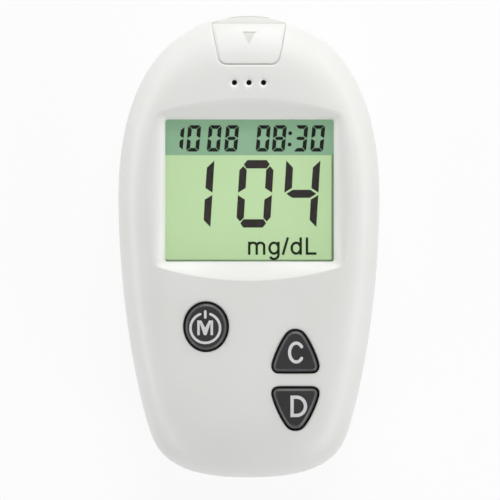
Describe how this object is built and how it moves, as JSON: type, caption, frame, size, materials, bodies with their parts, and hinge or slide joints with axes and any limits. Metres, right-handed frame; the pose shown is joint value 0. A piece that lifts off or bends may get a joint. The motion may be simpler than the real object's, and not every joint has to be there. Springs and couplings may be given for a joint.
{
  "type": "blood glucose meter",
  "caption": "Hand-held blood glucose meter: egg-shaped white case, sunk LCD window, sprung dark keys, pull-off strip port cover and hinged battery door.",
  "frame": {"origin": "middle of the flat rear face that the meter rests on", "axes": "+Z out of the display, +Y along the case towards the strip port, +X to the right as the display is read"},
  "size_m": [0.0522, 0.0924, 0.0195],
  "materials": {
    "white_plastic": "glossy white moulding",
    "key_plastic": "satin charcoal with pale legends",
    "clear_plastic": "clear polished window",
    "display_glass": "green-grey reflective display",
    "black_plastic": "fine matt moulding",
    "ivory_plastic": "plain moulding",
    "grey_rubber": "banded conductive rubber",
    "board_green": "green solder resist over copper tracks",
    "bright_steel": "nickel-plated",
    "gold_plate": "gold-plated spring",
    "tan_ceramic": "chip capacitor with tinned ends",
    "label_film": "blank satin label"
  },
  "bodies": {
    "case": {"front_cover": "white_plastic", "rear_cover": "white_plastic", "display_lens": "clear_plastic", "lcd_panel": "display_glass", "lcd_holder": "ivory_plastic", "zebra_strip_lower": "grey_rubber", "zebra_strip_upper": "grey_rubber", "circuit_board": "board_green", "switch_m": "bright_steel", "switch_c": "bright_steel", "switch_d": "bright_steel", "microcontroller": "black_plastic", "memory_chip": "black_plastic", "crystal": "bright_steel", "capacitor_1": "tan_ceramic", "capacitor_2": "tan_ceramic", "buzzer": "black_plastic", "strip_connector": "black_plastic", "strip_contact_left": "gold_plate", "strip_contact_middle": "gold_plate", "strip_contact_right": "gold_plate", "coin_cell": "bright_steel", "battery_contact_negative": "bright_steel", "battery_contact_positive": "bright_steel", "case_screw_upper_left": "bright_steel", "case_screw_upper_right": "bright_steel", "case_screw_lower_left": "bright_steel", "case_screw_lower_right": "bright_steel", "board_screw_left": "bright_steel", "board_screw_right": "bright_steel", "rear_label": "label_film"},
    "key_m": {"button_m": "key_plastic", "plunger_m": "black_plastic"},
    "key_c": {"button_c": "key_plastic", "plunger_c": "black_plastic"},
    "key_d": {"button_d": "key_plastic", "plunger_d": "black_plastic"},
    "port_cover": {"strip_port_cover": "white_plastic"},
    "door": {"battery_door": "white_plastic"}
  },
  "joints": [
    {"name": "press_m", "type": "slide", "parent": "case", "child": "key_m", "axis": [0, 0, -1], "range_m": [0, 0.0004], "stiffness_N_per_m": 2500},
    {"name": "press_c", "type": "slide", "parent": "case", "child": "key_c", "axis": [0, 0, -1], "range_m": [0, 0.0004], "stiffness_N_per_m": 2500},
    {"name": "press_d", "type": "slide", "parent": "case", "child": "key_d", "axis": [0, 0, -1], "range_m": [0, 0.0004], "stiffness_N_per_m": 2500},
    {"name": "port_cover_slide", "type": "slide", "parent": "case", "child": "port_cover", "axis": [0, 1, 0], "range_m": [0, 0.0075]},
    {"name": "door_hinge", "type": "hinge", "parent": "case", "child": "door", "pos_m": [0, 0.0005, 0.0002], "axis": [1, 0, 0], "range_deg": [0, 75]}
  ]
}
